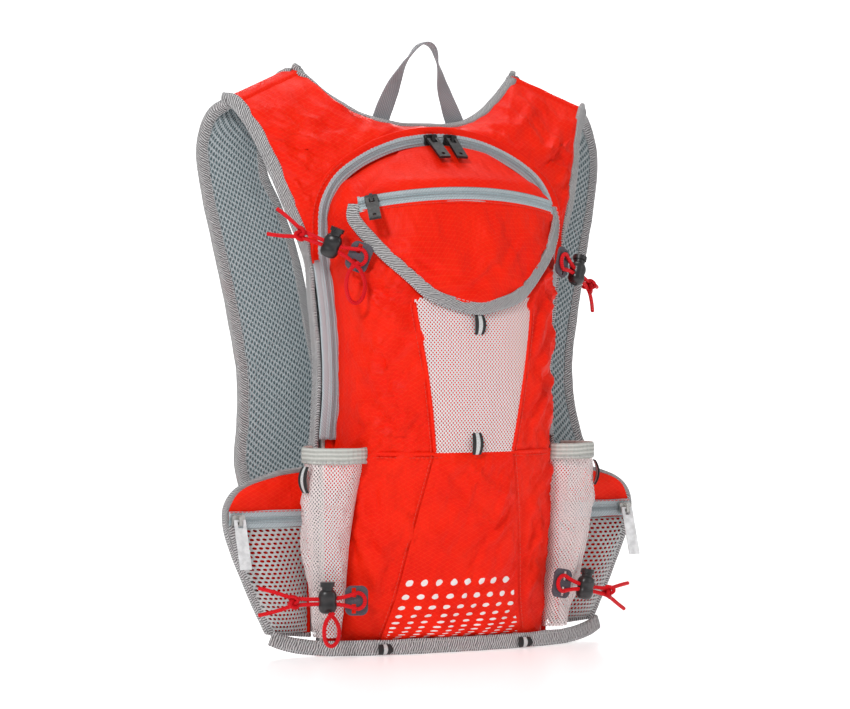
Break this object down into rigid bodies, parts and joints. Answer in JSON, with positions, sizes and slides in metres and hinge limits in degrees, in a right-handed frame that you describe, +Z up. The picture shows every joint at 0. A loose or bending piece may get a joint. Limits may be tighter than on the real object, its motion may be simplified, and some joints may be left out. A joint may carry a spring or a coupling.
{
  "type": "hydration pack",
  "caption": "Running vest hydration pack with padded straps, hip wings, mesh side pockets, zipped bag and front pocket, elastic cord locks and a haul loop.",
  "frame": {"origin": "centre of the bounding box's underside, on the surface the pack stands on", "axes": "+Z up along the wearer's back, -Y away from the wearer (front pocket side), +X towards the pack's right side as seen from the front"},
  "size_m": [0.34, 0.1467, 0.4623],
  "materials": {
    "shell_fabric": "red ripstop nylon with a soft sheen",
    "grey_binding": "ribbed polyester edge tape",
    "spacer_mesh": "grey-blue spacer mesh",
    "foam": "closed-cell foam sheet",
    "fine_mesh": "fine white knit mesh",
    "coarse_mesh": "coarse light grey mesh",
    "zip_tape": "woven zip tape with a nylon coil",
    "elastic_band": "woven elastic",
    "webbing": "flat grey webbing",
    "reflective_tape": "black tape with a reflective stripe",
    "hypalon": "dark grey coated tab",
    "black_plastic": "moulded acetal",
    "zip_metal": "black enamelled zip hardware",
    "clear_ribbon": "translucent soft ribbon",
    "elastic_cord": "braided red elastic cord",
    "bladder_film": "smoky water bladder film",
    "blue_plastic": "moulded cap"
  },
  "bodies": {
    "root": {"back_foam": "foam", "back_panel": "spacer_mesh", "base_binding": "grey_binding", "base_panel": "shell_fabric", "bottom_left_bungee": "elastic_cord", "bottom_right_bungee": "elastic_cord", "buckle_housing": "black_plastic", "bungee_knots": "elastic_cord", "centre_mesh_panel": "fine_mesh", "cord_tabs": "hypalon", "edge_bindings": "grey_binding", "front_pocket": "shell_fabric", "front_pocket_binding": "grey_binding", "front_pocket_zip": "zip_tape", "hydration_sleeve": "bladder_film", "left_side_pocket": "fine_mesh", "left_strap": "spacer_mesh", "left_wing": "shell_fabric", "lower_panel": "shell_fabric", "main_shell": "shell_fabric", "main_zip": "zip_tape", "neck_binding": "grey_binding", "pocket_elastics": "elastic_band", "rear_wall": "shell_fabric", "reservoir": "bladder_film", "reservoir_port": "blue_plastic", "right_side_pocket": "fine_mesh", "right_strap": "spacer_mesh", "right_wing": "shell_fabric", "shoulder_yoke": "shell_fabric", "sternum_adjusters": "black_plastic", "sternum_webbing": "webbing", "strap_bindings": "grey_binding", "tape_loops": "reflective_tape", "top_left_bungee": "elastic_cord", "top_right_bungee": "elastic_cord", "wing_meshes": "coarse_mesh", "wing_zips": "zip_tape"},
    "left_main_slider": {"left_main_slider": "zip_metal"},
    "left_main_pull": {"left_main_pull": "zip_metal"},
    "right_main_slider": {"right_main_slider": "zip_metal"},
    "right_main_pull": {"right_main_pull": "zip_metal"},
    "front_pocket_slider": {"front_pocket_slider": "zip_metal"},
    "front_pocket_pull": {"front_pocket_pull": "zip_metal"},
    "left_wing_slider": {"left_wing_slider": "zip_metal"},
    "left_wing_pull": {"left_wing_pull": "clear_ribbon"},
    "right_wing_slider": {"right_wing_slider": "zip_metal"},
    "right_wing_pull": {"right_wing_pull": "clear_ribbon"},
    "top_left_lock": {"top_left_lock": "black_plastic"},
    "top_left_button": {"top_left_button": "black_plastic"},
    "top_right_lock": {"top_right_lock": "black_plastic"},
    "top_right_button": {"top_right_button": "black_plastic"},
    "bottom_left_lock": {"bottom_left_lock": "black_plastic"},
    "bottom_left_button": {"bottom_left_button": "black_plastic"},
    "bottom_right_lock": {"bottom_right_lock": "black_plastic"},
    "bottom_right_button": {"bottom_right_button": "black_plastic"},
    "upper_buckle_arm": {"upper_buckle_arm": "black_plastic"},
    "lower_buckle_arm": {"lower_buckle_arm": "black_plastic"},
    "haul_loop": {"haul_loop": "webbing"},
    "reservoir_cap": {"reservoir_cap": "blue_plastic"}
  },
  "joints": [
    {"name": "left_main_slide", "type": "hinge", "parent": "root", "child": "left_main_slider", "pos_m": [0, 0, 0.258], "axis": [0, 1, 0], "range_deg": [-18, 0]},
    {"name": "left_main_pull_swing", "type": "hinge", "parent": "left_main_slider", "child": "left_main_pull", "pos_m": [-0.00804, -0.0061, 0.38575], "axis": [-0.998, 0, -0.0628], "range_deg": [0, 95]},
    {"name": "right_main_slide", "type": "hinge", "parent": "root", "child": "right_main_slider", "pos_m": [0, 0, 0.258], "axis": [0, 1, 0], "range_deg": [0, 18]},
    {"name": "right_main_pull_swing", "type": "hinge", "parent": "right_main_slider", "child": "right_main_pull", "pos_m": [0.00804, -0.0061, 0.38575], "axis": [-0.998, 0, 0.0628], "range_deg": [0, 95]},
    {"name": "front_pocket_slide", "type": "hinge", "parent": "root", "child": "front_pocket_slider", "pos_m": [0, 0.10165, 0.27292], "axis": [0, 0.4226, 0.9063], "range_deg": [0, 50]},
    {"name": "front_pocket_pull_swing", "type": "hinge", "parent": "front_pocket_slider", "child": "front_pocket_pull", "pos_m": [-0.07357, -0.0403, 0.33912], "axis": [-0.9051, 0.3853, -0.1797], "range_deg": [0, 95]},
    {"name": "left_wing_slide", "type": "slide", "parent": "root", "child": "left_wing_slider", "axis": [1, 0, 0], "range_m": [0, 0.034]},
    {"name": "left_wing_pull_swing", "type": "hinge", "parent": "left_wing_slider", "child": "left_wing_pull", "pos_m": [-0.162, -0.00075, 0.1015], "axis": [-1, 0, 0], "range_deg": [0, 110]},
    {"name": "right_wing_slide", "type": "slide", "parent": "root", "child": "right_wing_slider", "axis": [-1, 0, 0], "range_m": [0, 0.034]},
    {"name": "right_wing_pull_swing", "type": "hinge", "parent": "right_wing_slider", "child": "right_wing_pull", "pos_m": [0.162, -0.00075, 0.1015], "axis": [-1, 0, 0], "range_deg": [0, 110]},
    {"name": "top_left_lock_slide", "type": "slide", "parent": "root", "child": "top_left_lock", "axis": [-0.7517, 0.5461, 0.3697], "range_m": [0, 0.006]},
    {"name": "top_left_button_press", "type": "slide", "parent": "top_left_lock", "child": "top_left_button", "axis": [-0.2991, 0.2173, -0.9292], "range_m": [0, 0.002], "stiffness_N_per_m": 400, "springref_m": -0.002},
    {"name": "top_right_lock_slide", "type": "slide", "parent": "root", "child": "top_right_lock", "axis": [0.7449, 0.5412, -0.3903], "range_m": [0, 0.006]},
    {"name": "top_right_button_press", "type": "slide", "parent": "top_right_lock", "child": "top_right_button", "axis": [-0.3158, -0.2294, -0.9207], "range_m": [0, 0.002], "stiffness_N_per_m": 400, "springref_m": -0.002},
    {"name": "bottom_left_lock_slide", "type": "slide", "parent": "root", "child": "bottom_left_lock", "axis": [-0.9703, 0.2419, 0], "range_m": [0, 0.006]},
    {"name": "bottom_left_button_press", "type": "slide", "parent": "bottom_left_lock", "child": "bottom_left_button", "axis": [0, 0, -1], "range_m": [0, 0.002], "stiffness_N_per_m": 400, "springref_m": -0.002},
    {"name": "bottom_right_lock_slide", "type": "slide", "parent": "root", "child": "bottom_right_lock", "axis": [0.9507, 0.237, -0.2], "range_m": [0, 0.006]},
    {"name": "bottom_right_button_press", "type": "slide", "parent": "bottom_right_lock", "child": "bottom_right_button", "axis": [-0.194, -0.0484, -0.9798], "range_m": [0, 0.002], "stiffness_N_per_m": 400, "springref_m": -0.002},
    {"name": "upper_buckle_arm_press", "type": "slide", "parent": "root", "child": "upper_buckle_arm", "axis": [0, 0, -1], "range_m": [0, 0.002], "stiffness_N_per_m": 400, "springref_m": -0.002},
    {"name": "lower_buckle_arm_press", "type": "slide", "parent": "root", "child": "lower_buckle_arm", "axis": [0, 0, 1], "range_m": [0, 0.002], "stiffness_N_per_m": 400, "springref_m": -0.002},
    {"name": "haul_loop_flex", "type": "hinge", "parent": "root", "child": "haul_loop", "pos_m": [0, 0.0402, 0.399], "axis": [-1, 0, 0], "range_deg": [-10, 15]},
    {"name": "reservoir_cap_turn", "type": "hinge", "parent": "root", "child": "reservoir_cap", "pos_m": [0, -0.0223, 0.29], "axis": [0, -1, 0], "range_deg": [0, 170]}
  ]
}
